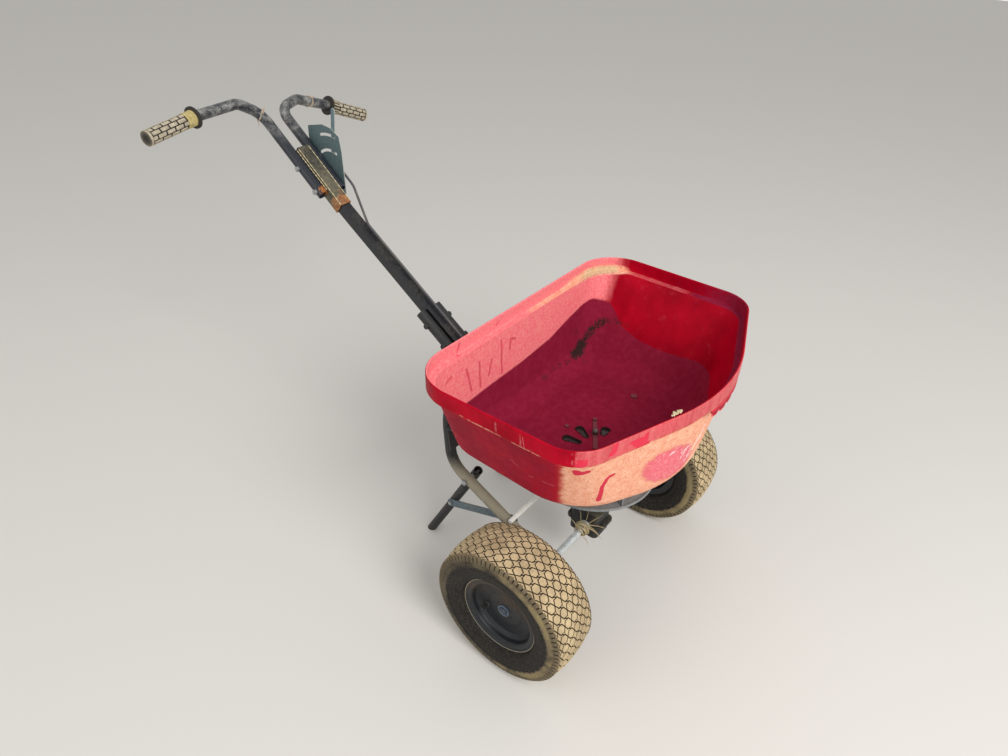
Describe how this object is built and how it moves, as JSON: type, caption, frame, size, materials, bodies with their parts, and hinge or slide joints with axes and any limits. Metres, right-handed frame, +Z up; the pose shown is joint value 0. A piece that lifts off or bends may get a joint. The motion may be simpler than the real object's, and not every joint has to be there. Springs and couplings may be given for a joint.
{
  "type": "fertilizer spreader",
  "caption": "Walk-behind broadcast spreader: red plastic hopper on a two-wheeled tube frame with a push handle, spinner disc and flow lever.",
  "frame": {"origin": "on the ground under the middle of the machine's length and width", "axes": "+Z up, -Y forward (the way it is pushed), +X to the operator's left"},
  "size_m": [0.7364, 1.3261, 0.9786],
  "materials": {
    "red_plastic": "satin, sun-bleached and dusty",
    "tyre": "matte, dusty",
    "black_rim": "satin black",
    "galvanised": "dull zinc",
    "black_paint": "satin, dusty",
    "zinc_sheet": "blue-grey zinc",
    "grey_plastic": "satin",
    "clear_grey": "cloudy",
    "grip_rubber": "matte, dusty",
    "rusty_steel": "worn olive paint over rust"
  },
  "bodies": {
    "frame": {"hopper": "red_plastic", "flow_gate": "grey_plastic", "gear_case": "grey_plastic", "axle_bushing_left": "grey_plastic", "axle_bushing_right": "grey_plastic", "frame_tube_left": "black_paint", "frame_tube_right": "black_paint", "leg_left": "black_paint", "leg_right": "black_paint", "leg_brace_left": "zinc_sheet", "leg_brace_right": "zinc_sheet", "leg_bolt_left": "galvanised", "leg_bolt_right": "galvanised", "brace_bolts_left": "galvanised", "brace_bolts_right": "galvanised", "tie_rod": "galvanised", "hopper_rail_left": "black_paint", "hopper_rail_right": "black_paint", "hopper_bolts": "galvanised", "floor_rivets": "galvanised", "shaft_strap": "galvanised", "column": "black_paint", "column_bolts": "galvanised", "handle_sleeve": "rusty_steel", "handle_tube_left": "black_paint", "handle_tube_right": "black_paint", "grip_left": "grip_rubber", "grip_right": "grip_rubber", "handle_bolts": "galvanised", "flow_plate": "zinc_sheet", "flow_lever": "zinc_sheet", "lever_bolt": "galvanised", "control_rod": "galvanised"},
    "drive_wheel": {"axle": "galvanised", "axle_collars": "galvanised", "axle_cap_left": "galvanised", "axle_cap_right": "galvanised", "tyre_left": "tyre", "rim_left": "black_rim", "valve_left": "grey_plastic"},
    "free_wheel": {"tyre_right": "tyre", "rim_right": "black_rim", "valve_right": "grey_plastic"},
    "spinner": {"spinner": "clear_grey", "spinner_shaft": "galvanised"}
  },
  "joints": [
    {"name": "drive_wheel_spin", "type": "hinge", "parent": "frame", "child": "drive_wheel", "pos_m": [0, -0.4233, 0.165], "axis": [1, 0, 0], "continuous": true},
    {"name": "free_wheel_spin", "type": "hinge", "parent": "frame", "child": "free_wheel", "pos_m": [-0.3038, -0.4233, 0.165], "axis": [1, 0, 0], "continuous": true},
    {"name": "spinner_spin", "type": "hinge", "parent": "frame", "child": "spinner", "pos_m": [0, -0.4073, 0.3285], "axis": [0, 0, 1], "continuous": true}
  ],
  "couplings": [
    {"joint": "spinner_spin", "follows": "drive_wheel_spin", "ratio": 5}
  ]
}
